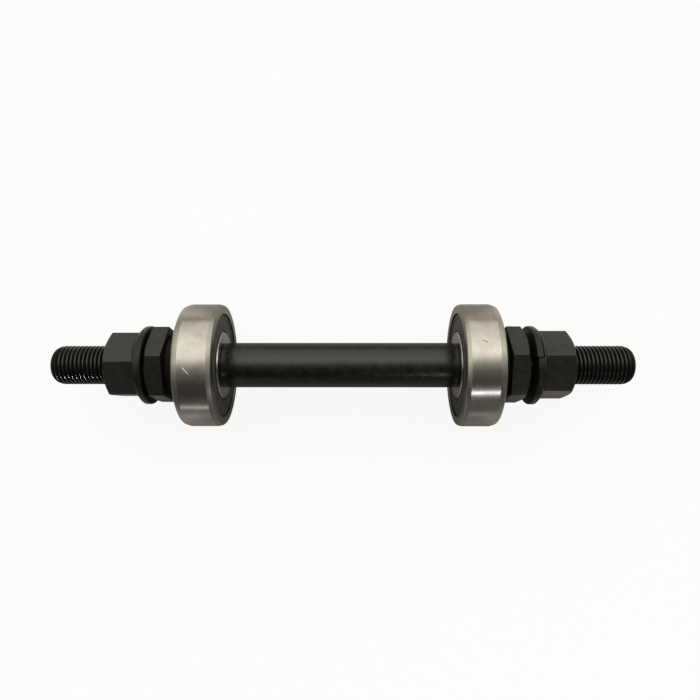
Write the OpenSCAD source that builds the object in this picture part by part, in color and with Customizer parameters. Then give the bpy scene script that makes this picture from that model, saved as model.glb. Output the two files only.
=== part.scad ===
// Front hub axle of a bicycle: a turned steel axle with two sealed ball bearings,
// and on each end a spacer, a locknut, a split lock washer and an axle nut.
// The axle lies along X with its middle at the origin, and lengths are in millimetres.
// Each piece is drawn along its own +Z, which points away from the middle of the axle.

/* [Axle] */
// Length of the axle from end to end
axle_length = 141.6; // [138:0.1:160]
// Diameter over the thread crests at both ends
thread_d = 9.525; // [9:0.025:9.8]
// Diameter of the smooth middle
body_d = 11; // [10.8:0.1:13]
// Left end: distance from the middle of the axle to the shoulder
left_shoulder = 29; // [26:0.1:31]
// Right end: distance from the middle of the axle to the shoulder
right_shoulder = 28.1; // [26:0.1:31]
// How far the ground bearing seat runs past the bearing
seat_overrun = 0.6; // [0.2:0.1:1.5]
// Length of the rounded lead at each end
lead_length = 2.5; // [1:0.1:5]
// Diameter of the flat that is left at each end
lead_flat_d = 6; // [4:0.1:8]
// Diameter of the centre hole that the lathe leaves in each end
centre_hole_d = 1.6; // [1:0.1:2.2]
// Diameter of the mouth of the centre hole
centre_mouth_d = 3; // [2.4:0.1:3.4]
// Depth of the centre hole
centre_hole_depth = 3; // [2:0.1:6]
// Chamfer on the edge of each shoulder
shoulder_chamfer = 0.2; // [0.05:0.05:0.3]

/* [Bearing] */
// Bore of the bearing, which is also the diameter of its seat
bearing_bore = 10; // [9.9:0.1:10.4]
// Wall of the inner ring at its shoulders
inner_ring_wall = 3.5; // [3.3:0.05:3.7]
// Radial gap between the shoulders of the two rings
shoulder_gap = 3; // [2.8:0.1:3.2]
// Wall of the outer ring at its shoulders
outer_ring_wall = 3.5; // [3.2:0.1:5]
// Width of the bearing
bearing_width = 9; // [8.6:0.1:11]
// Radius of the corners of the outer ring
outer_corner = 1.3; // [0.3:0.1:1.5]
// Radius of the corners in the bore of the inner ring
inner_corner = 0.4; // [0.1:0.1:0.5]
// Diameter of each ball
ball_d = 4.7625; // [4.5:0.0125:4.9]
// Number of balls
ball_count = 8; // [6:1:8]
// Radius of the raceway, as a share of the ball's diameter
race_conformity = 0.52; // [0.51:0.005:0.54]
// Play between a ball and each raceway
race_play = 0.03; // [0.01:0.01:0.06]

/* [Seals] */
// Radial width of the recess for a seal, past the shoulder of the outer ring
seal_seat = 1.25; // [1.1:0.05:1.4]
// Depth of the groove that holds the rim of the seal, past the recess
rim_groove = 0.2; // [0.1:0.05:0.3]
// How far the seal lies below the face of the bearing
seal_inset = 0.35; // [0.2:0.05:0.5]
// Thickness of the seal
seal_thickness = 0.7; // [0.5:0.05:0.8]
// Width of the open ring between the seal's face and the recess
seal_gap = 0.4; // [0.2:0.05:0.6]
// Depth of the sunken band in the seal's face
seal_band = 0.15; // [0.05:0.05:0.2]
// Width of the flat between the sunken band and the lip
seal_inner_flat = 1; // [0.6:0.1:1.4]
// Width of the flat between the sunken band and the rim
seal_outer_flat = 0.7; // [0.4:0.1:1]
// Depth of the groove that the lip runs in
lip_groove = 0.25; // [0.1:0.05:0.35]
// Clearance of the lip in its groove
lip_clearance = 0.06; // [0.03:0.01:0.1]

/* [Cage] */
// Thickness of the sheet of the cage
cage_sheet = 0.4; // [0.3:0.05:0.45]
// Radial width of the cage
cage_width = 2.2; // [1.8:0.1:2.4]
// Clearance of a ball in its pocket
pocket_clearance = 0.08; // [0.03:0.01:0.15]
// Diameter of the shank of each rivet
rivet_d = 0.7; // [0.5:0.05:0.8]
// Diameter of the head of each rivet
rivet_head_d = 1.2; // [1:0.05:1.3]
// Height of the head of each rivet
rivet_head_h = 0.3; // [0.2:0.05:0.4]

/* [Spacers] */
// Wall of the spacers, past the diameter of the bearing seat
spacer_wall = 2.5; // [1.5:0.1:3.3]
// Length of the left spacer
left_spacer_length = 4; // [1:0.1:6]
// Length of the right spacer
right_spacer_length = 2.7; // [1:0.1:6]
// Chamfer on the edges of the spacers
spacer_chamfer = 0.3; // [0.1:0.1:0.5]

/* [Locknuts] */
// Width of a locknut across its flats
locknut_flats = 17; // [16:0.5:19]
// Thickness of a locknut
locknut_thickness = 4.5; // [3.5:0.1:7]
// Angle that a corner of the left locknut stands from straight up, towards -Y
left_locknut_turn = -14; // [-30:1:30]
// Angle that a corner of the right locknut stands from straight up, towards -Y
right_locknut_turn = -16; // [-30:1:30]

/* [Lock washers] */
// Outside diameter of the lock washers
washer_d = 19.3; // [17:0.1:22]
// Thickness of the lock washers
washer_thickness = 1.6; // [1.2:0.1:2.2]
// Clearance of the lock washers around the thread
washer_clearance = 0.21; // [0.1:0.01:0.4]
// Rounding of the outer edges of the lock washers
washer_edge = 0.4; // [0.1:0.1:0.5]
// Angle of the open split in each washer
washer_split = 1.6; // [1:0.2:6]
// Gap between the left locknut and its lock washer
left_washer_gap = 0.1; // [0:0.1:0.9]
// Gap between the right locknut and its loose lock washer
right_washer_gap = 0.9; // [0:0.1:0.9]
// How far the ends of the left washer stand apart along the axle
left_washer_rise = 0.1; // [0:0.1:1.4]
// How far the ends of the right washer stand apart along the axle
right_washer_rise = 0.3; // [0:0.1:1.4]
// Angle of the split of the left washer from straight up, towards -Y
left_split_angle = 150; // [0:1:360]
// Angle of the split of the right washer from straight up, towards -Y
right_split_angle = 347; // [0:1:360]

/* [Axle nuts] */
// Width of an axle nut across its flats
nut_flats = 15; // [14:0.5:17]
// Height of an axle nut with its flange
nut_height = 8.2; // [7:0.1:12]
// Height of the conical flange
flange_height = 1.2; // [0.8:0.1:2]
// Diameter of the flange at the washer
flange_d = 18.4; // [17.4:0.1:19]
// Angle that a corner of the left axle nut stands from straight up, towards -Y
left_nut_turn = -7; // [-30:1:30]
// Angle that a corner of the right axle nut stands from straight up, towards -Y
right_nut_turn = -17; // [-30:1:30]

/* [Threads and nut corners] */
// Clearance of nuts around the thread and of spacers around the bearing seat
thread_clearance = 0.06; // [0.02:0.01:0.1]
// Angle of the chamfers on the corners of the nuts
corner_angle = 30; // [15:1:40]
// Diameter of the flat that a corner chamfer leaves on a nut, as a share of its flats
corner_flat = 0.95; // [0.88:0.01:0.98]
// Depth of the countersink at the mouth of each nut
countersink = 0.6; // [0.2:0.1:1]

/* [Hidden] */
$fn = 96;
SIDES = ["left", "right"];
BALLS = [for (i = [1:ball_count]) str("ball_", i)];
PIECES = concat(
    ["inner_ring", "outer_ring", "inboard_seal", "outboard_seal"],
    ["inboard_cage", "outboard_cage", "cage_rivets"],
    BALLS,
    ["spacer", "locknut", "lock_washer", "axle_nut"]
);

// Colours as the photograph shows them
BLACK_OXIDE = [0.17, 0.17, 0.165];
GROUND_STEEL = [0.72, 0.7, 0.66];
SEAL_RUBBER = [0.2, 0.2, 0.195];
SHEET_STEEL = [0.6, 0.6, 0.6];
BALL_STEEL = [0.8, 0.8, 0.8];

// Radii and places that follow from the sizes above
thread_r = thread_d / 2;
seat_r = bearing_bore / 2;
clear_r = thread_r + thread_clearance;
washer_bore_r = thread_r + washer_clearance;
inner_shoulder_r = seat_r + inner_ring_wall;
outer_shoulder_r = inner_shoulder_r + shoulder_gap;
bearing_r = outer_shoulder_r + outer_ring_wall;
pitch_r = (inner_shoulder_r + outer_shoulder_r) / 2;
ball_r = ball_d / 2;
race_r = race_conformity * ball_d;
half_width = bearing_width / 2;
seal_face = half_width - seal_inset;
seal_back = seal_face - seal_thickness;
recess_r = outer_shoulder_r + seal_seat;
rim_r = recess_r + rim_groove;
lip_middle = (seal_face + seal_back) / 2;
pocket_r = ball_r + pocket_clearance;
ball_step = 360 / ball_count;
spacer_r = seat_r + spacer_wall;
centre_cone = 30;
lead_steps = 10;
washer_steps = 72;
eps = 0.01;

// A pair of values, one for each end of the axle
function of_side(side, left, right) = side == "left" ? left : right;
function direction(side) = of_side(side, -1, 1);
function shoulder_x(side) = of_side(side, left_shoulder, right_shoulder);
function washer_gap(side) = of_side(side, left_washer_gap, right_washer_gap);
function washer_rise(side) = of_side(side, left_washer_rise, right_washer_rise);

// Distances from the middle of the axle to the inboard face of each piece of the stack
function bearing_x(side) = shoulder_x(side);
function spacer_x(side) = bearing_x(side) + bearing_width;
function spacer_length(side) = of_side(side, left_spacer_length, right_spacer_length);
function locknut_x(side) = spacer_x(side) + spacer_length(side);
function washer_x(side) = locknut_x(side) + locknut_thickness + washer_gap(side);
function nut_x(side) = washer_x(side) + washer_thickness + washer_rise(side);
function seat_end_x(side) = spacer_x(side) + seat_overrun;

// Carries a piece that is drawn along +Z to its place on one end of the axle.
// The piece's own +X then stands straight up, and a turn leans it towards -Y.
module place(side, x, turn = 0) {
    translate([direction(side) * x, 0, 0])
        rotate([turn, 0, 0])
            rotate([0, direction(side) * 90, 0])
                rotate(of_side(side, 0, 180))
                    children();
}

// Profile of one half of the axle, as points of distance along it and radius
function axle_half(side) = let (
    end = axle_length / 2,
    lead = [for (i = [0:lead_steps]) let (a = 90 * i / lead_steps) [
        end - lead_length + lead_length * sin(a),
        lead_flat_d / 2 + (thread_r - lead_flat_d / 2) * cos(a)
    ]]
) concat(
    [
        [shoulder_x(side) - shoulder_chamfer, body_d / 2],
        [shoulder_x(side), body_d / 2 - shoulder_chamfer],
        [shoulder_x(side), seat_r],
        [seat_end_x(side), seat_r],
        [seat_end_x(side) + seat_r - thread_r, thread_r]
    ],
    lead,
    [
        [end, centre_mouth_d / 2],
        [end - (centre_mouth_d - centre_hole_d) / 2 / tan(centre_cone), centre_hole_d / 2],
        [end - centre_hole_depth, centre_hole_d / 2],
        [end - centre_hole_depth - centre_hole_d / 2 * tan(centre_cone), 0]
    ]
);

// The axle: a smooth middle, a ground seat for each bearing and a plain cylinder for each thread
module axle() {
    left = axle_half("left");
    right = axle_half("right");
    outline = concat(
        [for (p = right) [p[1], p[0]]],
        [for (i = [len(left) - 1:-1:0]) [left[i][1], -left[i][0]]]
    );
    color(BLACK_OXIDE)
        rotate([0, 90, 0])
            rotate_extrude()
                polygon(outline);
}

// Section of a bearing ring between two radii, with round corners on one side
module ring_section(r_in, r_out, corner, corner_outside) {
    straight_in = corner_outside ? r_in : r_in + corner;
    corner_r = corner_outside ? r_out - corner : r_in + corner;
    translate([r_in, corner - half_width])
        square([r_out - r_in, bearing_width - 2 * corner]);
    translate([straight_in, -half_width])
        square([r_out - r_in - corner, bearing_width]);
    for (end = [-1, 1])
        translate([corner_r, end * (half_width - corner)])
            circle(corner);
}

// Inner ring: raceway outside, and a groove near each face that a seal's lip runs in
module inner_ring() {
    race_centre = pitch_r - ball_r - race_play + race_r;
    color(GROUND_STEEL)
        rotate_extrude()
            difference() {
                ring_section(seat_r, inner_shoulder_r, inner_corner, false);
                translate([race_centre, 0])
                    circle(race_r);
                for (end = [-1, 1])
                    translate([inner_shoulder_r, end * lip_middle])
                        polygon([
                            [-lip_groove, -lip_groove / 2],
                            [-lip_groove, lip_groove / 2],
                            [eps, seal_thickness / 2],
                            [eps, -seal_thickness / 2]
                        ]);
            }
}

// Outer ring: raceway inside, and in each face a recess with a groove for the rim of a seal
module outer_ring() {
    race_centre = pitch_r + ball_r + race_play - race_r;
    color(GROUND_STEEL)
        rotate_extrude()
            difference() {
                ring_section(outer_shoulder_r, bearing_r, outer_corner, true);
                translate([race_centre, 0])
                    circle(race_r);
                for (end = [0, 1])
                    mirror([0, end])
                        translate([0, seal_back]) {
                            square([recess_r, half_width]);
                            square([rim_r, seal_thickness / 2]);
                        }
            }
}

// Seal: a moulded disc with a rim that snaps into the outer ring and a lip on the inner ring
module seal() {
    face_r = recess_r - seal_gap;
    lip_r = inner_shoulder_r + lip_clearance;
    band_in = lip_r + seal_inner_flat;
    band_out = face_r - seal_outer_flat;
    tip_r = inner_shoulder_r - lip_groove + lip_clearance;
    color(SEAL_RUBBER)
        rotate_extrude()
            polygon([
                [lip_r, seal_back],
                [rim_r, seal_back],
                [rim_r, lip_middle],
                [face_r, lip_middle],
                [face_r, seal_face],
                [band_out, seal_face],
                [band_out - seal_band, seal_face - seal_band],
                [band_in + seal_band, seal_face - seal_band],
                [band_in, seal_face],
                [lip_r, seal_face],
                [lip_r, lip_middle + lip_clearance],
                [tip_r, lip_middle],
                [lip_r, lip_middle - lip_clearance]
            ]);
}

// The balls' places: the first stands on the piece's own +X
module at_ball(i) {
    rotate(ball_step * i)
        translate([pitch_r, 0, 0])
            children();
}

module ball(i) {
    color(BALL_STEEL)
        at_ball(i)
            sphere(ball_r);
}

// One half of the ribbon cage: flat lands between the balls and a round pocket over each ball
module cage_half() {
    outer_pocket = pocket_r + cage_sheet;
    color(SHEET_STEEL)
        difference() {
            intersection() {
                cylinder(r = pitch_r + cage_width / 2, h = outer_pocket);
                union() {
                    cylinder(r = pitch_r + cage_width, h = cage_sheet);
                    for (i = [0:ball_count - 1])
                        at_ball(i)
                            sphere(outer_pocket);
                }
            }
            translate([0, 0, -eps])
                cylinder(r = pitch_r - cage_width / 2, h = outer_pocket + 2 * eps);
            for (i = [0:ball_count - 1])
                at_ball(i)
                    sphere(pocket_r);
            for (i = [0:ball_count - 1])
                rotate(ball_step / 2)
                    at_ball(i)
                        translate([0, 0, -eps])
                            cylinder(d = rivet_d, h = cage_sheet + 2 * eps);
        }
}

// Rivets that close the two halves of the cage, one between each pair of balls
module cage_rivets() {
    color(BALL_STEEL)
        for (i = [0:ball_count - 1])
            rotate(ball_step / 2)
                at_ball(i) {
                    cylinder(d = rivet_d, h = 2 * cage_sheet, center = true);
                    for (end = [0, 1])
                        mirror([0, 0, end])
                            translate([0, 0, cage_sheet])
                                cylinder(d = rivet_head_d, h = rivet_head_h);
                }
}

// Spacer between the inner ring and the locknut
module spacer(length) {
    edge_r = spacer_r - spacer_chamfer;
    color(BLACK_OXIDE)
        rotate_extrude()
            polygon([
                [seat_r + thread_clearance, 0],
                [edge_r, 0],
                [spacer_r, spacer_chamfer],
                [spacer_r, length - spacer_chamfer],
                [edge_r, length],
                [seat_r + thread_clearance, length]
            ]);
}

// Hexagonal bar with its corners turned down at the far end
module hex_bar(flats, height) {
    across_corners = flats / cos(30);
    flat_r = corner_flat * flats / 2;
    drop = (across_corners / 2 - flat_r) * tan(corner_angle);
    intersection() {
        cylinder(d = across_corners, h = height, $fn = 6);
        rotate_extrude()
            polygon([
                [0, 0],
                [across_corners / 2 + eps, 0],
                [across_corners / 2 + eps, height - drop],
                [flat_r, height],
                [0, height]
            ]);
    }
}

// Clear hole through a nut, with a countersink at each mouth
module nut_bore(height) {
    translate([0, 0, -eps])
        cylinder(r = clear_r, h = height + 2 * eps);
    for (end = [0, 1])
        translate([0, 0, end * height])
            mirror([0, 0, end])
                translate([0, 0, -eps])
                    cylinder(r1 = clear_r + countersink, r2 = clear_r, h = countersink);
}

module locknut() {
    color(BLACK_OXIDE)
        difference() {
            hex_bar(locknut_flats, locknut_thickness);
            nut_bore(locknut_thickness);
        }
}

// Axle nut: a hexagon that stands on a conical flange
module axle_nut() {
    color(BLACK_OXIDE)
        difference() {
            union() {
                cylinder(d1 = flange_d, d2 = nut_flats, h = flange_height);
                hex_bar(nut_flats, nut_height);
            }
            nut_bore(nut_height);
        }
}

// Split lock washer: one turn of a left-hand spring, with its split on the piece's own +X
module lock_washer(rise) {
    turn = 360 - washer_split;
    r_out = washer_d / 2;
    section = [
        [washer_bore_r, 0],
        [r_out - washer_edge, 0],
        [r_out, washer_edge],
        [r_out, washer_thickness - washer_edge],
        [r_out - washer_edge, washer_thickness],
        [washer_bore_r, washer_thickness]
    ];
    n = len(section);
    points = [for (i = [0:washer_steps]) let (t = i / washer_steps, a = -turn * t) for (p = section) [
        p[0] * cos(a),
        p[0] * sin(a),
        p[1] + rise * t
    ]];
    walls = [for (i = [0:washer_steps - 1]) for (j = [0:n - 1]) let (k = (j + 1) % n) [
        i * n + j,
        (i + 1) * n + j,
        (i + 1) * n + k,
        i * n + k
    ]];
    start_cap = [for (j = [0:n - 1]) j];
    end_cap = [for (j = [n - 1:-1:0]) washer_steps * n + j];
    color(BLACK_OXIDE)
        polyhedron(points = points, faces = concat(walls, [start_cap, end_cap]));
}

// Everything of one bearing is drawn about the bearing's own centre
module place_bearing(side) {
    place(side, bearing_x(side) + half_width)
        children();
}

axle();
for (side = SIDES) {
    place_bearing(side) inner_ring();
    place_bearing(side) outer_ring();
    place_bearing(side) mirror([0, 0, 1]) seal();
    place_bearing(side) seal();
    place_bearing(side) mirror([0, 0, 1]) cage_half();
    place_bearing(side) cage_half();
    place_bearing(side) cage_rivets();
    for (i = [0:ball_count - 1])
        place_bearing(side) ball(i);
    place(side, spacer_x(side)) spacer(spacer_length(side));
    place(side, locknut_x(side), of_side(side, left_locknut_turn, right_locknut_turn)) locknut();
    place(side, washer_x(side), of_side(side, left_split_angle, right_split_angle))
            lock_washer(washer_rise(side));
    place(side, nut_x(side), of_side(side, left_nut_turn, right_nut_turn)) axle_nut();
}
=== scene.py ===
"""Looks of a bicycle hub axle: cut threads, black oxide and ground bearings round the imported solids.

Lengths are written in millimetres and turned into metres where a mesh is made. The axle lies
along X, the floor is below it, and the camera looks straight down with +Y at the top.
"""

from math import acos, atan2, ceil, cos, pi, radians, sin, sqrt, tan

import bmesh
import bpy
from mathutils import Matrix, Vector


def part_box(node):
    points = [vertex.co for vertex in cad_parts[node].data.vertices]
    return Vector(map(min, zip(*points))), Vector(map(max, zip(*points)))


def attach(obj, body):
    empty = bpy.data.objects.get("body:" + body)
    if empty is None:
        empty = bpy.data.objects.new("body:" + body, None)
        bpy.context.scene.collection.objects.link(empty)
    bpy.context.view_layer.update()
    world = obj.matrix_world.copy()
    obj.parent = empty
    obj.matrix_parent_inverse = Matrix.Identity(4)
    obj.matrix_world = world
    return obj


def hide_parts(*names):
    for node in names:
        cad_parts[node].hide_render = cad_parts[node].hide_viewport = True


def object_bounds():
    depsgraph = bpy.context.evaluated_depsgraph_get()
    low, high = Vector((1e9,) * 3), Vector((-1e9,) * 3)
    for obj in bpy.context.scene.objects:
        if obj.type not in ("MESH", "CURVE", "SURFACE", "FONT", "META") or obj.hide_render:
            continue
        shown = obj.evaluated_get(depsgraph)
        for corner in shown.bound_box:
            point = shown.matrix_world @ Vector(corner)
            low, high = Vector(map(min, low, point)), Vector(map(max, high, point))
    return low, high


MM = 0.001
SIDES = {"left": -1, "right": 1}

# Axle
THREAD_R = 4.7625
THREAD_PITCH = 0.97692
THREAD_DEPTH = 0.56
THREAD_FADE = 1.4
THREAD_START = 38.0
# Depth below the crest where the painted shade of the thread's grooves begins
GROOVE_START = 0.06
SEAT_R = 5.0
BODY_R = 5.5
SHOULDER_X = {"left": 29.0, "right": 28.1}
SHOULDER_ROUND = 0.3
SEAT_OVERRUN = 0.6
LEAD_LENGTH = 2.5
LEAD_FLAT_R = 3.0
CENTRE_HOLE_R = 0.8
CENTRE_MOUTH_R = 1.5
CENTRE_EDGE = 0.15
CENTRE_CONE = 30
CENTRE_HOLE_DEPTH = 3.0
ROUND_STEPS = 72

# How far beside the axle's edges an extra loop stands, which keeps the shading flat there
SHOULDER_LOOP = 6.0
FACE_LOOP = 0.3

# Rings of the bearings
BEARING_R = 15.0
BEARING_WIDTH = 9.0
PITCH_R = 10.0
BALL_R = 2.38125
RACE_R = 2.4765
RACE_PLAY = 0.03
RACE_STEPS = 12
INNER_RACE_CENTRE_R = PITCH_R - BALL_R - RACE_PLAY + RACE_R
OUTER_RACE_CENTRE_R = PITCH_R + BALL_R + RACE_PLAY - RACE_R
INNER_SHOULDER_R = 8.5
INNER_FACE_R = 8.15
INNER_FACE_EDGE = 0.22
INNER_CORNER = 0.4
LIP_MIDDLE = 3.8
LIP_MOUTH = 0.7
LIP_GROOVE = 0.25
OUTER_SHOULDER_R = 11.5
RECESS_R = 12.75
RIM_R = 12.95
SEAL_BACK = 3.45
MOUTH_EDGE = 0.1
RING_STEPS = 144

# Corners of the outer rings, whose slope grows from the ground land to the side face
LAND_INBOARD = 1.0
LAND_OUTBOARD = 1.5
LAND_ANGLE = 16
CORNER_STEPS = 32
CORNER_POWER = 5

# Edges that turn by more than this many degrees are shaded crisp
CREASE = 32
LAND_CREASE = 13

# One turn of the thread: place along the pitch and share of the depth that is cut away
THREAD_FORM = [
    (0.00, 1.00),
    (0.07, 0.94),
    (0.30, 0.20),
    (0.36, 0.04),
    (0.43, 0.00),
    (0.57, 0.00),
    (0.64, 0.04),
    (0.70, 0.20),
    (0.93, 0.94),
]

# Nuts
CLEAR_R = 4.8225
COUNTERSINK = 0.6
CORNER_FLAT = 0.95
CORNER_SLOPE = tan(radians(30))
EDGE_SOFT = 0.14
HEX_EDGE_R = 0.2
HEX_EDGE_STEPS = 4
HEX_FLAT_STEPS = 10
LOCKNUT_FLATS = 17.0
LOCKNUT_TURN = {"left": -14, "right": -16}
NUT_FLATS = 15.0
NUT_TURN = {"left": -7, "right": -17}
FLANGE_R = 9.2
FLANGE_HEIGHT = 1.2
FLANGE_RIM = 0.18
FLANGE_EDGE = 0.05

# Lock washers
WASHER_BORE_R = 4.9725
WASHER_R = 9.65
WASHER_THICKNESS = 1.6
WASHER_EDGE = 0.45
WASHER_SPLIT = 1.6
WASHER_RISE = {"left": 0.1, "right": 0.3}
WASHER_TURN = {"left": 150, "right": 347}
WASHER_STEPS = 120

# Hair scratches on the bearings: both ends along X and round the axis, width and shine
HAIR_SCRATCHES = [
    ((-35.25, 0.0), (-33.6, -7.2), 0.12, 1.0),
    ((31.6, 23.4), (32.9, 21.1), 0.14, 0.12),
]

# Patterns of the materials: cells a metre, and the height of their relief in millimetres
OXIDE_PATCHES = 620
OXIDE_GRAIN = 5200
OXIDE_SPECKS = 2600
STAINS = 230
GRIND_LINES = 9000
RUBBER_CLOUD = 400
RUBBER_SKIN = 9000
STEEL_CLOUD = 900
PATCH_RELIEF = 0.12
GRAIN_RELIEF = 0.02
LINE_RELIEF = 0.006
SKIN_RELIEF = 0.015

# Metres that the pattern of ground lines moves on in one radian round the axis
GRIND_STRETCH = 0.0006

# Bare steel where the black oxide has worn off
WORN_STEEL = (0.16, 0.155, 0.14)

# Light of the room: degrees from straight up towards +Y, and colour
SOFTBOX = [
    (-100, (0.16, 0.16, 0.16)),
    (-75, (0.17, 0.17, 0.16)),
    (-54, (0.065, 0.06, 0.055)),
    (-32, (0.07, 0.063, 0.057)),
    (-11, (0.2, 0.185, 0.165)),
    (0, (0.42, 0.4, 0.35)),
    (9, (0.95, 0.92, 0.8)),
    (16, (1.75, 1.7, 1.47)),
    (26, (2.05, 2.0, 1.72)),
    (42, (1.85, 1.8, 1.55)),
    (60, (1.5, 1.45, 1.27)),
    (100, (1.0, 0.96, 0.86)),
]

# How far the softbox's lower edge leans, in degrees from left to right
SOFTBOX_SLANT = 12

# Level of the room's light from its left end to its right end
ROOM_ENDS = [(0.02, 0.5), (0.2, 1.0), (0.8, 1.0), (0.98, 0.9)]

# Floor: half its width, its matt white, and the share that glows where it is seen or mirrored
FLOOR_HALF = 2500
FLOOR_WHITE = (0.92, 0.92, 0.92, 1)
FLOOR_GLOW = 0.9

# The floor as the polished pieces mirror it is painted: a painted warm tint, a painted shadow of what
# stands near, and painted shade and light along X and across Y. It is plain white where the camera
# sees it.
FLOOR_PAINTED_REFLECTION_TINT = (1.0, 0.93, 0.83)
FLOOR_PAINTED_REFLECTION_LEVEL = 0.62
FLOOR_SHADE_REACH = 40
FLOOR_PAINTED_LEVEL_ALONG = [(26, 1.0), (40, 0.85), (58, 2.8), (100, 2.2), (220, 0.5)]
FLOOR_PAINTED_LEVEL_ACROSS = [
    (-130, 0.22),
    (-60, 0.32),
    (-30, 0.42),
    (-12, 0.18),
    (0, 0.5),
    (14, 0.85),
    (100, 0.45),
]

# Camera, as fitted to the photograph's outlines
IMAGE_SIZE = 700
SENSOR_WIDTH = 36
FOCAL_PIXELS = 557.68
CAMERA_DISTANCE = 138.12
CAMERA_YAW = 0.0085
CAMERA_AIM = (1.943, 3.74, 0.0)
CAMERA_CLIP = 10

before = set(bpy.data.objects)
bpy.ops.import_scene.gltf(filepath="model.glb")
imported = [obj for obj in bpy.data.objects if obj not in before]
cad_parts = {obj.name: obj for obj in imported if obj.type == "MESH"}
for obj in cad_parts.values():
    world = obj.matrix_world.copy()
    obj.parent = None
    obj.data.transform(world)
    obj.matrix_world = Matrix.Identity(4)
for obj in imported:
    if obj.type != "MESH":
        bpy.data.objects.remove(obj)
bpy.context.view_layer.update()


# Meshes


def smooth(obj, angle=CREASE):
    """Smooth shading, with edges sharper than the angle kept crisp."""
    obj.data.shade_smooth()
    obj.data.set_sharp_from_angle(angle=radians(angle))


def mesh_object(name, points, faces):
    """A clean mesh object from points in millimetres: doubles merged and normals outward."""
    data = bpy.data.meshes.new(name)
    data.from_pydata([Vector(p) * MM for p in points], [], faces)
    shape = bmesh.new()
    shape.from_mesh(data)
    bmesh.ops.remove_doubles(shape, verts=shape.verts, dist=1e-7)
    bmesh.ops.dissolve_degenerate(shape, edges=shape.edges, dist=1e-7)
    bmesh.ops.recalc_face_normals(shape, faces=shape.faces)
    shape.to_mesh(data)
    shape.free()
    obj = bpy.data.objects.new(name, data)
    bpy.context.scene.collection.objects.link(obj)
    smooth(obj)
    return obj


def soften(section, reach, steps=3):
    """A closed section with each corner rounded, never past a third of the edges beside it."""
    out = []
    count = len(section)
    for i, corner in enumerate(section):
        here = Vector(corner)
        before = Vector(section[i - 1]) - here
        after = Vector(section[(i + 1) % count]) - here
        start = here + before.normalized() * min(reach, before.length / 3)
        end = here + after.normalized() * min(reach, after.length / 3)
        for k in range(steps + 1):
            t = k / steps
            out.append(start * (1 - t) ** 2 + here * 2 * t * (1 - t) + end * t**2)
    return out


def ring_faces(columns, rows, closed=True):
    """Quads between neighbouring columns of a ring of closed sections."""
    faces = []
    for j in range(columns if closed else columns - 1):
        a, b = j * rows, (j + 1) % columns * rows
        for i in range(rows):
            k = (i + 1) % rows
            faces.append((a + i, b + i, b + k, a + k))
    return faces


def around(x, radius, lean):
    """A point beside the axle. The lean is the angle from straight up towards -Y."""
    return (x, -radius * sin(lean), radius * cos(lean))


# Axle


def lead_radius(x, end):
    """Radius of the rounded lead at a place along the axle."""
    inward = end - abs(x)
    if inward >= LEAD_LENGTH:
        return THREAD_R
    share = 1 - inward / LEAD_LENGTH
    return LEAD_FLAT_R + (THREAD_R - LEAD_FLAT_R) * sqrt(max(0, 1 - share**2))


def plain_turning(profile):
    """Points and faces of a turned surface through places along X and their radii."""
    angles = [2 * pi * j / ROUND_STEPS for j in range(ROUND_STEPS)]
    points = [(x, r * cos(a), r * sin(a)) for a in angles for x, r in profile]
    rows = len(profile)
    faces = []
    for j in range(ROUND_STEPS):
        a, b = j * rows, (j + 1) % ROUND_STEPS * rows
        faces += [(a + i, b + i, b + i + 1, a + i + 1) for i in range(rows - 1)]
    return points, faces


def cut_thread(inner, outer):
    """Points and faces of a right-hand thread that runs out at its inner end."""
    low, high = min(inner, outer), max(inner, outer)
    turns = ceil((high - low) / THREAD_PITCH) + 1
    rows = [(turn + place, cut) for turn in range(-1, turns) for place, cut in THREAD_FORM]
    points = []
    for j in range(ROUND_STEPS):
        a = 2 * pi * j / ROUND_STEPS
        for place, cut in rows:
            x = low + (place + j / ROUND_STEPS) * THREAD_PITCH
            x = min(max(x, low), high)
            fade = min(1, abs(x - inner) / THREAD_FADE)
            r = min(THREAD_R - THREAD_DEPTH * cut * fade, lead_radius(x, abs(outer)))
            points.append((x, r * cos(a), r * sin(a)))
    count = len(rows)
    faces = []
    for j in range(ROUND_STEPS):
        last = j == ROUND_STEPS - 1
        a, b = j * count, (j + 1) % ROUND_STEPS * count
        shift = len(THREAD_FORM) if last else 0
        for i in range(count - 1 - shift):
            faces.append((a + i, b + i + shift, b + i + 1 + shift, a + i + 1))
    return points, faces


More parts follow.
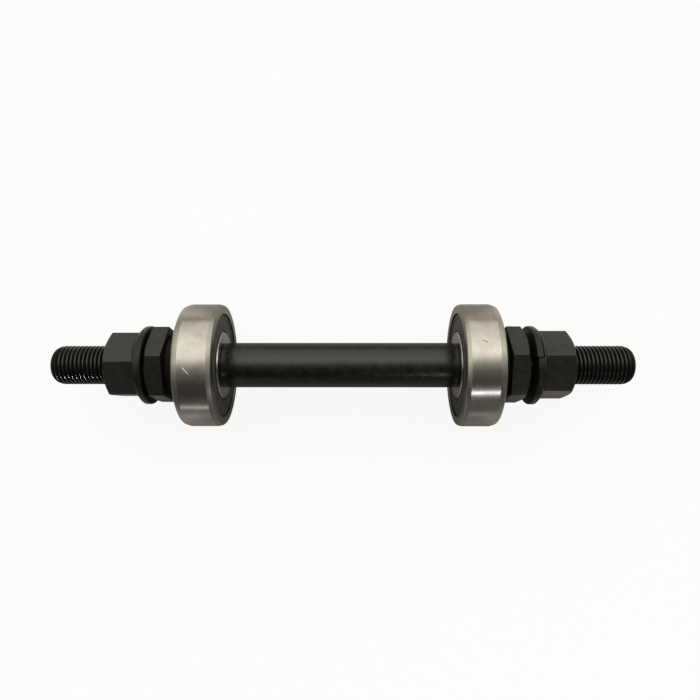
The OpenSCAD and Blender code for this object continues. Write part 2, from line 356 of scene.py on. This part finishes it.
def make_axle():
    """The whole axle: smooth middle, shoulders, bearing seats, threads, leads and centre holes."""
    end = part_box("axle")[1].x / MM
    middle = []
    parts = []
    for side, way in SIDES.items():
        shoulder = SHOULDER_X[side]
        seat_end = shoulder + BEARING_WIDTH + SEAT_OVERRUN
        thread_start = seat_end + SEAT_R - THREAD_R
        half = [
            (shoulder - SHOULDER_LOOP, BODY_R),
            (shoulder - SHOULDER_ROUND, BODY_R),
            (shoulder - SHOULDER_ROUND / 3, BODY_R - SHOULDER_ROUND / 6),
            (shoulder, BODY_R - SHOULDER_ROUND * 2 / 3),
            (shoulder, SEAT_R),
            (seat_end, SEAT_R),
            (thread_start, THREAD_R),
        ]
        steps = [(way * x, r) for x, r in half]
        middle = list(reversed(steps)) if way < 0 else middle + steps
        parts.append(cut_thread(way * thread_start, way * end))
        cone = (CENTRE_MOUTH_R - CENTRE_HOLE_R) / tan(radians(CENTRE_CONE))
        tip = CENTRE_HOLE_R * tan(radians(CENTRE_CONE))
        face = [
            (end, LEAD_FLAT_R),
            (end, LEAD_FLAT_R - FACE_LOOP),
            (end, CENTRE_MOUTH_R + CENTRE_EDGE),
            (end - CENTRE_EDGE * 2 / 3, CENTRE_MOUTH_R),
            (end - cone, CENTRE_HOLE_R),
            (end - CENTRE_HOLE_DEPTH, CENTRE_HOLE_R),
            (end - CENTRE_HOLE_DEPTH - tip, 0),
        ]
        parts.append(plain_turning([(way * x, r) for x, r in face]))
    parts.append(plain_turning(middle))
    points, faces = [], []
    for more_points, more_faces in parts:
        offset = len(points)
        points += more_points
        faces += [tuple(i + offset for i in f) for f in more_faces]
    return mesh_object("axle_turned", points, faces)


# Bearings


def raceway(centre_r, shoulder_r, way):
    """Half a raceway's arc from its bottom to its shoulder. The way is out (1) or in (-1)."""
    edge = acos(way * (shoulder_r - centre_r) / RACE_R)
    arc = [edge * k / RACE_STEPS for k in range(RACE_STEPS + 1)]
    return [(RACE_R * sin(a), centre_r + way * RACE_R * cos(a)) for a in arc]


def inner_ring_section():
    """Half the section of an inner ring from its middle outwards: raceway, lip groove and edges."""
    half = BEARING_WIDTH / 2
    return raceway(INNER_RACE_CENTRE_R, INNER_SHOULDER_R, -1) + [
        (LIP_MIDDLE - LIP_MOUTH / 2, INNER_SHOULDER_R),
        (LIP_MIDDLE - LIP_GROOVE / 2, INNER_SHOULDER_R - LIP_GROOVE),
        (LIP_MIDDLE + LIP_GROOVE / 2, INNER_SHOULDER_R - LIP_GROOVE),
        (LIP_MIDDLE + LIP_GROOVE / 2, INNER_FACE_R),
        (half - INNER_FACE_EDGE, INNER_FACE_R),
        (half, INNER_FACE_R - INNER_FACE_EDGE),
        (half, SEAT_R + INNER_CORNER),
        (half - INNER_CORNER, SEAT_R),
    ]


def land_corner(width):
    """A long corner from the side face up to the crisp edge of the ground land."""
    z, r = 0, 0
    path = [(z, r)]
    for k in range(CORNER_STEPS):
        slope = radians(LAND_ANGLE + (90 - LAND_ANGLE) * (k / CORNER_STEPS) ** CORNER_POWER)
        z, r = z + cos(slope), r - sin(slope)
        path.append((z, r))
    scale = width / z
    land_edge = BEARING_WIDTH / 2 - width
    return [(land_edge + z * scale, BEARING_R + r * scale) for z, r in reversed(path)]


def outer_ring_section(land_inset):
    """Half the section of an outer ring from its middle outwards, round to its ground land."""
    half = BEARING_WIDTH / 2
    return raceway(OUTER_RACE_CENTRE_R, OUTER_SHOULDER_R, 1) + [
        (SEAL_BACK, OUTER_SHOULDER_R),
        (SEAL_BACK, RIM_R),
        (LIP_MIDDLE, RIM_R),
        (LIP_MIDDLE, RECESS_R),
        (half - MOUTH_EDGE, RECESS_R),
        (half, RECESS_R + MOUTH_EDGE),
    ] + land_corner(land_inset)


def make_ring(name, node, side, inboard, outboard, angle):
    """A bearing ring turned from the sections of its two halves."""
    low, high = (corner.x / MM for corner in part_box(node))
    middle = (low + high) / 2
    section = [(-z, r) for z, r in reversed(inboard[1:])] + outboard
    points = []
    for j in range(RING_STEPS):
        lean = 2 * pi * j / RING_STEPS
        points += [around(middle + SIDES[side] * z, r, lean) for z, r in section]
    ring = mesh_object(name, points, ring_faces(RING_STEPS, len(section)))
    smooth(ring, angle)
    return ring


# Nuts


def hex_corner(flats):
    """Where a hexagon's corner rounding has its centre, and the angle at which it ends."""
    centre = (flats / 2 - HEX_EDGE_R) / cos(pi / 6)
    tangent = atan2(HEX_EDGE_R * sin(pi / 6), centre + HEX_EDGE_R * cos(pi / 6))
    return centre, tangent


def hex_radius(angle, flats):
    """Radius of a hexagon with rounded corners, where angle 0 is a corner."""
    a = abs((angle + pi / 6) % (pi / 3) - pi / 6)
    centre, tangent = hex_corner(flats)
    if a < tangent:
        return centre * cos(a) + sqrt(HEX_EDGE_R**2 - (centre * sin(a)) ** 2)
    return flats / 2 / cos(pi / 6 - a)


def hex_angles(flats):
    """Angles round a nut: close together on its rounded corners, wider on its flats."""
    _, tangent = hex_corner(flats)
    sector = pi / 3
    corner = [tangent * k / HEX_EDGE_STEPS for k in range(HEX_EDGE_STEPS + 1)]
    step = (sector - 2 * tangent) / HEX_FLAT_STEPS
    flat = [tangent + step * k for k in range(1, HEX_FLAT_STEPS)]
    one = corner + flat + [sector - a for a in reversed(corner[1:])]
    return [sector * i + a for i in range(6) for a in one]


def bore_section(height):
    """The hole of a nut, from the mouth at the far face to the mouth at the near one."""
    return [
        (height, CLEAR_R + COUNTERSINK),
        (height - COUNTERSINK, CLEAR_R),
        (COUNTERSINK, CLEAR_R),
        (0, CLEAR_R + COUNTERSINK),
    ]


def locknut_section(radius, height):
    """Section of a locknut where its outside has this radius."""
    flat_r = CORNER_FLAT * LOCKNUT_FLATS / 2
    drop = (radius - flat_r) * CORNER_SLOPE
    outside = [(0, radius), (height - drop, radius), (height, flat_r)]
    return outside + bore_section(height)


def nut_section(radius, height):
    """Section of a flanged axle nut where its hexagon has this radius."""
    flat_r = CORNER_FLAT * NUT_FLATS / 2
    drop = (radius - flat_r) * CORNER_SLOPE
    slope = FLANGE_HEIGHT / (FLANGE_R - NUT_FLATS / 2)
    outside = [
        (0, FLANGE_R - FLANGE_EDGE),
        (FLANGE_RIM, FLANGE_R),
        ((FLANGE_R - radius) * slope + FLANGE_RIM, radius),
        (height - drop, radius),
        (height, flat_r),
    ]
    return outside + bore_section(height)


def make_nut(name, node, side, flats, turn, section):
    """A hexagonal nut that stands where its CAD node does."""
    low, high = (corner.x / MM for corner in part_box(node))
    height = high - low
    base = high if side == "left" else low
    points = []
    angles = hex_angles(flats)
    for a in angles:
        for z, r in soften(section(hex_radius(a, flats), height), EDGE_SOFT):
            points.append(around(base + SIDES[side] * z, r, a + radians(turn)))
    rows = len(points) // len(angles)
    return mesh_object(name, points, ring_faces(len(angles), rows))


# Lock washers


def make_washer(name, node, side):
    """One turn of a left-hand spring with a rounded square section and an open split."""
    low, high = (corner.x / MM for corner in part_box(node))
    base = high if side == "left" else low
    way = SIDES[side]
    square = [
        (0, WASHER_BORE_R),
        (0, WASHER_R),
        (WASHER_THICKNESS, WASHER_R),
        (WASHER_THICKNESS, WASHER_BORE_R),
    ]
    section = soften(square, WASHER_EDGE, steps=5)
    points = []
    for j in range(WASHER_STEPS + 1):
        share = j / WASHER_STEPS
        lean = radians(WASHER_TURN[side] - way * (360 - WASHER_SPLIT) * share)
        rise = WASHER_RISE[side] * share
        points += [around(base + way * (z + rise), r, lean) for z, r in section]
    rows = len(section)
    faces = ring_faces(WASHER_STEPS + 1, rows, closed=False)
    faces.append(tuple(range(rows)))
    faces.append(tuple(WASHER_STEPS * rows + i for i in range(rows)))
    return mesh_object(name, points, faces)


# Materials


class Nodes:
    """Builds a node tree with one call a node."""

    def __init__(self, tree):
        self.tree = tree
        tree.nodes.clear()

    def add(self, kind, inputs=None, **settings):
        node = self.tree.nodes.new(kind)
        for key, value in settings.items():
            setattr(node, key, value)
        for key, value in (inputs or {}).items():
            if isinstance(value, bpy.types.NodeSocket):
                self.tree.links.new(value, node.inputs[key])
            else:
                node.inputs[key].default_value = value
        return node

    def noise(self, vector, scale, detail=3, roughness=0.5):
        settings = {"Vector": vector, "Scale": scale, "Detail": detail, "Roughness": roughness}
        return self.add("ShaderNodeTexNoise", settings).outputs["Fac"]

    def ramp(self, value, stops):
        node = self.add("ShaderNodeValToRGB", {"Fac": value})
        for _ in stops[2:]:
            node.color_ramp.elements.new(1)
        for element, (place, colour) in zip(node.color_ramp.elements, stops):
            element.position = place
            element.color = (*colour, 1) if isinstance(colour, tuple) else (colour,) * 3 + (1,)
        return node.outputs["Color"]

    def math(self, operation, *values):
        inputs = dict(enumerate(values))
        return self.add("ShaderNodeMath", inputs, operation=operation).outputs["Value"]

    def mix(self, share, first, second, blend="MIX"):
        inputs = {"Factor": share, "A": first, "B": second}
        node = self.add("ShaderNodeMix", data_type="RGBA", blend_type=blend)
        for key, value in inputs.items():
            socket = next(s for s in node.inputs if s.name == key and s.enabled)
            if isinstance(value, bpy.types.NodeSocket):
                self.tree.links.new(value, socket)
            else:
                socket.default_value = (*value, 1) if key != "Factor" else value
        return next(s for s in node.outputs if s.enabled)

    def bump(self, height, strength, distance, normal=None):
        inputs = {"Height": height, "Strength": strength, "Distance": distance * MM}
        if normal:
            inputs["Normal"] = normal
        return self.add("ShaderNodeBump", inputs).outputs["Normal"]

    def object_place(self):
        return self.add("ShaderNodeTexCoord").outputs["Object"]


def new_material(name):
    """An empty material and its node builder."""
    material = bpy.data.materials.new(name)
    material.use_nodes = True
    return material, Nodes(material.node_tree)


def surface(nodes, inputs):
    """Ends a material with one principled surface."""
    shader = nodes.add("ShaderNodeBsdfPrincipled", inputs)
    nodes.add("ShaderNodeOutputMaterial", {"Surface": shader.outputs["BSDF"]})


def black_oxide(name, dark, light, rough, grain, dents, gleam=0.5):
    """Blackened steel: mottled tone, fine grain and a few bright specks where it has worn."""
    material, nodes = new_material(name)
    place = nodes.object_place()
    patches = nodes.noise(place, OXIDE_PATCHES, 5, 0.6)
    fine = nodes.noise(place, OXIDE_GRAIN, 2)
    tone = nodes.ramp(patches, [(0.32, dark), (0.7, light)])
    specks = nodes.ramp(nodes.noise(place, OXIDE_SPECKS, 1), [(0.78, 0.0), (0.82, 1.0)])
    colour = nodes.mix(specks, tone, WORN_STEEL)
    gloss = nodes.ramp(patches, [(0.3, rough - 0.07), (0.72, rough + 0.09)])
    relief = nodes.bump(patches, dents, PATCH_RELIEF)
    relief = nodes.bump(fine, grain, GRAIN_RELIEF, relief)
    surface(nodes, {
        "Base Color": colour,
        "Roughness": gloss,
        "Specular IOR Level": gleam,
        "Normal": relief,
    })
    return material


def hair_scratch(nodes, x, turn, start, end, width):
    """Share of a straight hair scratch between two places, each along X and round the axis."""
    (x0, a0), (x1, a1) = ((along * MM, radians(degrees)) for along, degrees in (start, end))
    reach = BEARING_R * MM
    span = (x1 - x0, (a1 - a0) * reach)
    length = sqrt(span[0] ** 2 + span[1] ** 2)
    from_x = nodes.math("SUBTRACT", x, x0)
    from_turn = nodes.math("MULTIPLY", nodes.math("SUBTRACT", turn, a0), reach)
    along = nodes.math(
        "ADD",
        nodes.math("MULTIPLY", from_x, span[0] / length**2),
        nodes.math("MULTIPLY", from_turn, span[1] / length**2),
    )
    aside = nodes.math(
        "SUBTRACT",
        nodes.math("MULTIPLY", from_x, span[1] / length),
        nodes.math("MULTIPLY", from_turn, span[0] / length),
    )
    inside = nodes.ramp(along, [(0.0, 0.0), (0.12, 1.0), (0.85, 1.0), (1.0, 0.0)])
    near = nodes.math("DIVIDE", nodes.math("ABSOLUTE", aside), width * MM)
    return nodes.math("MULTIPLY", inside, nodes.ramp(near, [(0.3, 1.0), (1.0, 0.0)]))


def ground_steel(name, tint, rough, anisotropy, lines):
    """Bearing steel ground round its axis: fine lines, faint stains and a few hair scratches."""
    material, nodes = new_material(name)
    place = nodes.object_place()
    split = nodes.add("ShaderNodeSeparateXYZ", {"Vector": place})
    reach = nodes.math("SQRT", nodes.math(
        "ADD",
        nodes.math("POWER", split.outputs["Y"], 2),
        nodes.math("POWER", split.outputs["Z"], 2),
    ))
    turn = nodes.math("ARCTAN2", split.outputs["Y"], split.outputs["Z"])
    along = nodes.add("ShaderNodeCombineXYZ", {
        "X": split.outputs["X"],
        "Y": reach,
        "Z": nodes.math("MULTIPLY", turn, GRIND_STRETCH),
    }).outputs["Vector"]
    grind = nodes.noise(along, GRIND_LINES, 4, 0.7)
    stains = nodes.noise(place, STAINS, 4, 0.6)
    tone = nodes.ramp(stains, [(0.34, tuple(0.8 * c for c in tint)), (0.62, tint)])
    streaks = nodes.ramp(grind, [(0.3, 0.86), (0.7, 1.0)])
    colour = nodes.mix(1.0, tone, streaks, blend="MULTIPLY")
    gloss = nodes.ramp(grind, [(0.25, rough - 0.05), (0.75, rough + 0.06)])
    for start, end, width, shine in HAIR_SCRATCHES:
        share = hair_scratch(nodes, split.outputs["X"], turn, start, end, width)
        colour = nodes.mix(share, colour, (shine,) * 3)
        gloss = nodes.mix(share, gloss, (0.5,) * 3)
    relief = nodes.bump(grind, lines, LINE_RELIEF)
    tangent = nodes.add("ShaderNodeTangent", direction_type="RADIAL", axis="X").outputs["Tangent"]
    surface(nodes, {
        "Base Color": colour,
        "Metallic": 1.0,
        "Roughness": gloss,
        "Anisotropic": anisotropy,
        "Tangent": tangent,
        "Normal": relief,
    })
    return material


def seal_rubber():
    """Moulded rubber: matt dark grey with a fine skin."""
    material, nodes = new_material("seal_rubber_skin")
    place = nodes.object_place()
    cloud = nodes.noise(place, RUBBER_CLOUD, 3)
    skin = nodes.noise(place, RUBBER_SKIN, 2)
    colour = nodes.ramp(cloud, [(0.35, (0.032, 0.032, 0.029)), (0.7, (0.05, 0.05, 0.046))])
    relief = nodes.bump(skin, 0.25, SKIN_RELIEF)
    surface(nodes, {"Base Color": colour, "Roughness": 0.55, "Normal": relief})
    return material


def bright_steel(name, tint, rough):
    """Bright steel of the balls, cages and rivets."""
    material, nodes = new_material(name)
    place = nodes.object_place()
    cloud = nodes.noise(place, STEEL_CLOUD, 3)
    colour = nodes.ramp(cloud, [(0.3, tuple(0.9 * c for c in tint)), (0.7, tint)])
    gloss = nodes.ramp(cloud, [(0.3, rough), (0.7, rough + 0.08)])
    surface(nodes, {"Base Color": colour, "Metallic": 1.0, "Roughness": gloss})
    return material


def paint(obj, material):
    """Gives every face of an object one material."""
    if not obj.material_slots:
        obj.data.materials.append(material)
    for place in obj.material_slots:
        place.material = material


def paint_groove_shade(obj, material):
    """Gives the flanks and roots of a thread a painted shade: a darker, less glossy oxide with weaker
    reflection, standing for the shade that falls in the grooves.
    """
    obj.data.materials.append(material)
    crest = (THREAD_R - GROOVE_START) * MM
    for face in obj.data.polygons:
        place = face.center
        if abs(place.x) > THREAD_START * MM and sqrt(place.y**2 + place.z**2) < crest:
            face.material_index = 1


def paint_corner_shade(ring, material):
    """Gives the unground corners beside an outer ring's land a rougher steel, as turned steel is, with
    a painted shade: a darker tint for the dark surroundings they mirror.
    """
    ring.data.materials.append(material)
    ends = [vertex.co.x for vertex in ring.data.vertices]
    middle = (min(ends) + max(ends)) / 2
    for face in ring.data.polygons:
        place = face.center
        beside = abs(place.x - middle) > (BEARING_WIDTH / 2 - LAND_OUTBOARD) * MM
        if beside and sqrt(place.y**2 + place.z**2) > (RECESS_R + MOUTH_EDGE) * MM:
            face.material_index = 1


def dress(piece, node, body, material):
    """Puts a finished piece in a solid's place, on the body that carries it."""
    paint(piece, material)
    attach(piece, body)
    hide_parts(node)


# Pieces on their bodies

oxide_turned = black_oxide(
    "oxide_turned",
    dark=(0.003, 0.003, 0.0026),
    light=(0.007, 0.007, 0.006),
    rough=0.27,
    grain=0.3,
    dents=0.5,
)
# Painted shade for the thread's grooves: a darker tone, more roughness and weaker reflection than the
# turned oxide
oxide_groove_painted_shade = black_oxide(
    "oxide_groove_painted_shade",
    dark=(0.003, 0.003, 0.0025),
    light=(0.005, 0.005, 0.004),
    rough=0.6,
    grain=0.3,
    dents=0.2,
    gleam=0.15,
)
oxide_nut = black_oxide(
    "oxide_nut",
    dark=(0.01, 0.01, 0.0085),
    light=(0.016, 0.016, 0.0135),
    rough=0.34,
    grain=0.25,
    dents=0.15,
    gleam=0.42,
)
oxide_spring = black_oxide(
    "oxide_spring",
    dark=(0.004, 0.004, 0.003),
    light=(0.009, 0.009, 0.007),
    rough=0.4,
    grain=0.2,
    dents=0.2,
    gleam=0.3,
)
ring_steel = ground_steel(
    "ring_steel",
    tint=(0.46, 0.445, 0.42),
    rough=0.17,
    anisotropy=0.6,
    lines=0.25,
)
inner_steel = ground_steel(
    "inner_steel",
    tint=(0.6, 0.6, 0.57),
    rough=0.2,
    anisotropy=0.5,
    lines=0.25,
)
# Rougher turned steel for the rings' corners; its darker tint is a painted shade for what they mirror
corner_steel_painted_shade = ground_steel(
    "corner_steel_painted_shade",
    tint=(0.4, 0.39, 0.35),
    rough=0.36,
    anisotropy=0.3,
    lines=0.25,
)
rubber = seal_rubber()
ball_steel = bright_steel("ball_steel_bright", tint=(0.7, 0.7, 0.69), rough=0.08)
cage_steel = bright_steel("cage_sheet_steel", tint=(0.5, 0.5, 0.49), rough=0.3)

axle = make_axle()
dress(axle, "axle", "axle", oxide_turned)
paint_groove_shade(axle, oxide_groove_painted_shade)

for side in SIDES:
    inner = make_ring(
        f"{side}_bearing_inner",
        f"{side}_inner_ring",
        side,
        inner_ring_section(),
        inner_ring_section(),
        CREASE,
    )
    outer = make_ring(
        f"{side}_bearing_outer",
        f"{side}_outer_ring",
        side,
        outer_ring_section(LAND_INBOARD),
        outer_ring_section(LAND_OUTBOARD),
        LAND_CREASE,
    )
    locknut = make_nut(
        f"{side}_locknut_hex",
        f"{side}_locknut",
        side,
        LOCKNUT_FLATS,
        LOCKNUT_TURN[side],
        locknut_section,
    )
    washer = make_washer(f"{side}_split_washer", f"{side}_lock_washer", side)
    nut = make_nut(
        f"{side}_flanged_nut",
        f"{side}_axle_nut",
        side,
        NUT_FLATS,
        NUT_TURN[side],
        nut_section,
    )
    dress(inner, f"{side}_inner_ring", "axle", inner_steel)
    dress(outer, f"{side}_outer_ring", f"{side}_outer_ring", ring_steel)
    dress(locknut, f"{side}_locknut", "axle", oxide_nut)
    dress(washer, f"{side}_lock_washer", f"{side}_lock_washer", oxide_spring)
    dress(nut, f"{side}_axle_nut", f"{side}_axle_nut", oxide_nut)
    paint_corner_shade(outer, corner_steel_painted_shade)

for name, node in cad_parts.items():
    if name.endswith("_ring"):
        paint(node, ring_steel)
    elif name.endswith("_seal"):
        paint(node, rubber)
    elif name.endswith("_cage"):
        paint(node, cage_steel)
    elif "_ball_" in name or name.endswith("_rivets"):
        paint(node, ball_steel)
    else:
        paint(node, oxide_groove_painted_shade)


# Floor


def make_floor():
    """A wide white floor under the bearings that keeps a soft shadow; in reflections its glow carries
    a painted shadow, painted light and a painted warm tint.
    """
    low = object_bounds()[0].z / MM
    half = FLOOR_HALF
    corners = [(-half, -half, low), (half, -half, low), (half, half, low), (-half, half, low)]
    floor = mesh_object("studio_floor", corners, [(0, 1, 2, 3)])
    material, nodes = new_material("floor_white")
    matt = nodes.add("ShaderNodeBsdfDiffuse", {"Color": FLOOR_WHITE})
    ray = nodes.add("ShaderNodeLightPath").outputs
    # Painted shadow and painted light: the glow that reflections see is dimmed by ambient occlusion
    # and scaled along X and across Y
    shade = nodes.add("ShaderNodeAmbientOcclusion", {"Distance": FLOOR_SHADE_REACH * MM}).outputs["AO"]
    place = nodes.add("ShaderNodeSeparateXYZ", {"Vector": nodes.object_place()}).outputs
    along = nodes.ramp(
        nodes.math("ABSOLUTE", place["X"]),
        [(x * MM, level) for x, level in FLOOR_PAINTED_LEVEL_ALONG],
    )
    across = nodes.ramp(
        nodes.math("ADD", place["Y"], 0.5),
        [(0.5 + y * MM, level) for y, level in FLOOR_PAINTED_LEVEL_ACROSS],
    )
    mirrored = nodes.math("MULTIPLY", nodes.math("MULTIPLY", shade, along), across)
    mirrored = nodes.math("MULTIPLY", mirrored, FLOOR_PAINTED_REFLECTION_LEVEL)
    colour = nodes.mix(ray["Is Camera Ray"], FLOOR_PAINTED_REFLECTION_TINT, (1, 1, 1))
    strength = nodes.mix(ray["Is Camera Ray"], mirrored, (1, 1, 1))
    glow = nodes.add("ShaderNodeEmission", {"Color": colour, "Strength": strength})
    seen = nodes.math("MAXIMUM", ray["Is Camera Ray"], ray["Is Glossy Ray"])
    seen = nodes.math("MAXIMUM", seen, ray["Is Transmission Ray"])
    share = nodes.math("MULTIPLY", seen, FLOOR_GLOW)
    both = nodes.add("ShaderNodeMixShader", {0: share, 1: matt.outputs[0], 2: glow.outputs[0]})
    nodes.add("ShaderNodeOutputMaterial", {"Surface": both.outputs[0]})
    paint(floor, material)


# Light


def make_world():
    """A studio: a wide warm softbox on the +Y side, and a dark side where the camera stands."""
    world = bpy.data.worlds.new("studio")
    bpy.context.scene.world = world
    world.use_nodes = True
    nodes = Nodes(world.node_tree)
    way = nodes.add("ShaderNodeTexCoord").outputs["Generated"]
    split = nodes.add("ShaderNodeSeparateXYZ", {"Vector": way}).outputs
    turn = nodes.math("ARCTAN2", split["Y"], split["Z"])
    place = nodes.math("ADD", nodes.math("DIVIDE", turn, 2 * pi), 0.5)
    place = nodes.math("SUBTRACT", place, nodes.math("MULTIPLY", split["X"], SOFTBOX_SLANT / 360))
    colour = nodes.ramp(place, [(0.5 + degrees / 360, light) for degrees, light in SOFTBOX])
    end = nodes.math("ADD", nodes.math("MULTIPLY", split["X"], 0.5), 0.5)
    level = nodes.ramp(end, ROOM_ENDS)
    room = nodes.add("ShaderNodeBackground", {"Color": colour, "Strength": level})
    white = nodes.add("ShaderNodeBackground", {"Color": (1, 1, 1, 1), "Strength": 1.0})
    seen = nodes.add("ShaderNodeLightPath").outputs["Is Camera Ray"]
    both = nodes.add("ShaderNodeMixShader", {0: seen, 1: room.outputs[0], 2: white.outputs[0]})
    nodes.add("ShaderNodeOutputWorld", {"Surface": both.outputs[0]})


def strip_lamp(name, place, target, size, radiance, spread=180):
    """A small lamp that draws one line of light on the round pieces."""
    lamp = bpy.data.lights.new(name, "AREA")
    lamp.shape = "RECTANGLE"
    lamp.size, lamp.size_y = size[0] * MM, size[1] * MM
    lamp.spread = radians(spread)
    lamp.energy = radiance * pi * lamp.size * lamp.size_y
    obj = bpy.data.objects.new(name, lamp)
    bpy.context.scene.collection.objects.link(obj)
    obj.location = Vector(place) * MM
    obj.rotation_mode = "QUATERNION"
    way = (Vector(target) - Vector(place)).normalized()
    right = way.cross(Vector((0, 0, 1))).normalized()
    obj.rotation_quaternion = Matrix((right, right.cross(way), -way)).transposed().to_quaternion()
    obj.visible_camera = False


def make_camera():
    """The camera that took the photograph."""
    lens = bpy.data.cameras.new("photo_camera")
    lens.sensor_width = SENSOR_WIDTH
    lens.lens = FOCAL_PIXELS / IMAGE_SIZE * SENSOR_WIDTH
    lens.clip_start = CAMERA_CLIP * MM
    camera = bpy.data.objects.new("photo_camera", lens)
    bpy.context.scene.collection.objects.link(camera)
    right = Vector((cos(CAMERA_YAW), 0, -sin(CAMERA_YAW)))
    up = Vector((0, 1, 0))
    back = right.cross(up)
    camera.location = (Vector(CAMERA_AIM) + back * CAMERA_DISTANCE) * MM
    camera.rotation_mode = "QUATERNION"
    camera.rotation_quaternion = Matrix((right, up, back)).transposed().to_quaternion()
    bpy.context.scene.camera = camera


make_floor()
make_world()
strip_lamp(
    "lamp_right",
    place=(108, -191, 175),
    target=(34, 0, 5),
    size=(104, 13),
    radiance=8.5,
)
strip_lamp(
    "lamp_left",
    place=(-115, -248, 43),
    target=(-33, 0, 5),
    size=(100, 26),
    radiance=1.1,
)
strip_lamp(
    "lamp_left_end",
    place=(-167, -125, 10),
    target=(-68, 0, 1),
    size=(20, 12),
    radiance=0.8,
    spread=12,
)
make_camera()
bpy.context.scene.view_settings.view_transform = "Standard"
